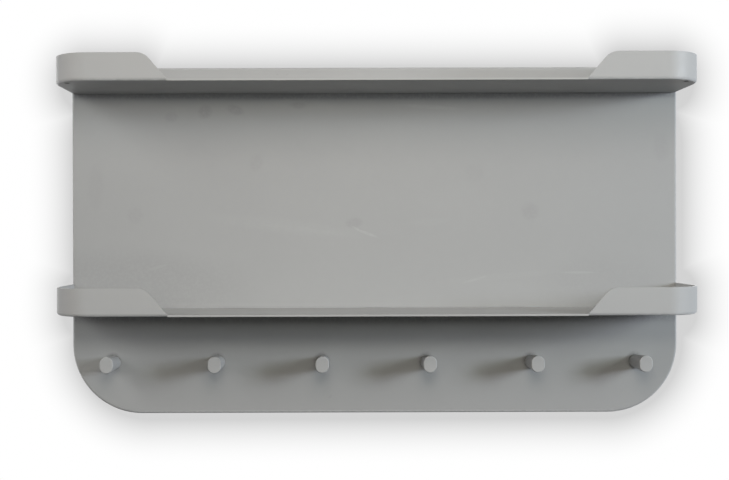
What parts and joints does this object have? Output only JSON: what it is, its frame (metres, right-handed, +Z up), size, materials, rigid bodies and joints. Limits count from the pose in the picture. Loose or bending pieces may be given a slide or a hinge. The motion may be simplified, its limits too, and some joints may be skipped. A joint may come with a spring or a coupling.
{
  "type": "wall shelf with peg rail",
  "caption": "Wall shelf of coated sheet steel: a folded back panel, two trays with rounded lipped corners, and a row of tapered pegs below, hung on hidden keyholes.",
  "frame": {"origin": "in the wall's plane, midway between the centres of the two keyholes' round entries", "axes": "+Y points into the wall, so the shelf's front faces -Y; +X runs along the shelf; +Z is up"},
  "size_m": [0.7, 0.11, 0.4],
  "materials": {
    "grey_coat": "satin powder coat",
    "zinc_screw": "bright zinc plate",
    "rubber_pad": "matt moulded"
  },
  "bodies": {
    "root": {"back_panel": "grey_coat", "upper_tray": "grey_coat", "lower_tray": "grey_coat", "peg_1": "grey_coat", "peg_2": "grey_coat", "peg_3": "grey_coat", "peg_4": "grey_coat", "peg_5": "grey_coat", "peg_6": "grey_coat", "peg_screws": "zinc_screw", "hanger_left": "grey_coat", "hanger_right": "grey_coat", "bumper_pads": "rubber_pad"}
  },
  "joints": []
}
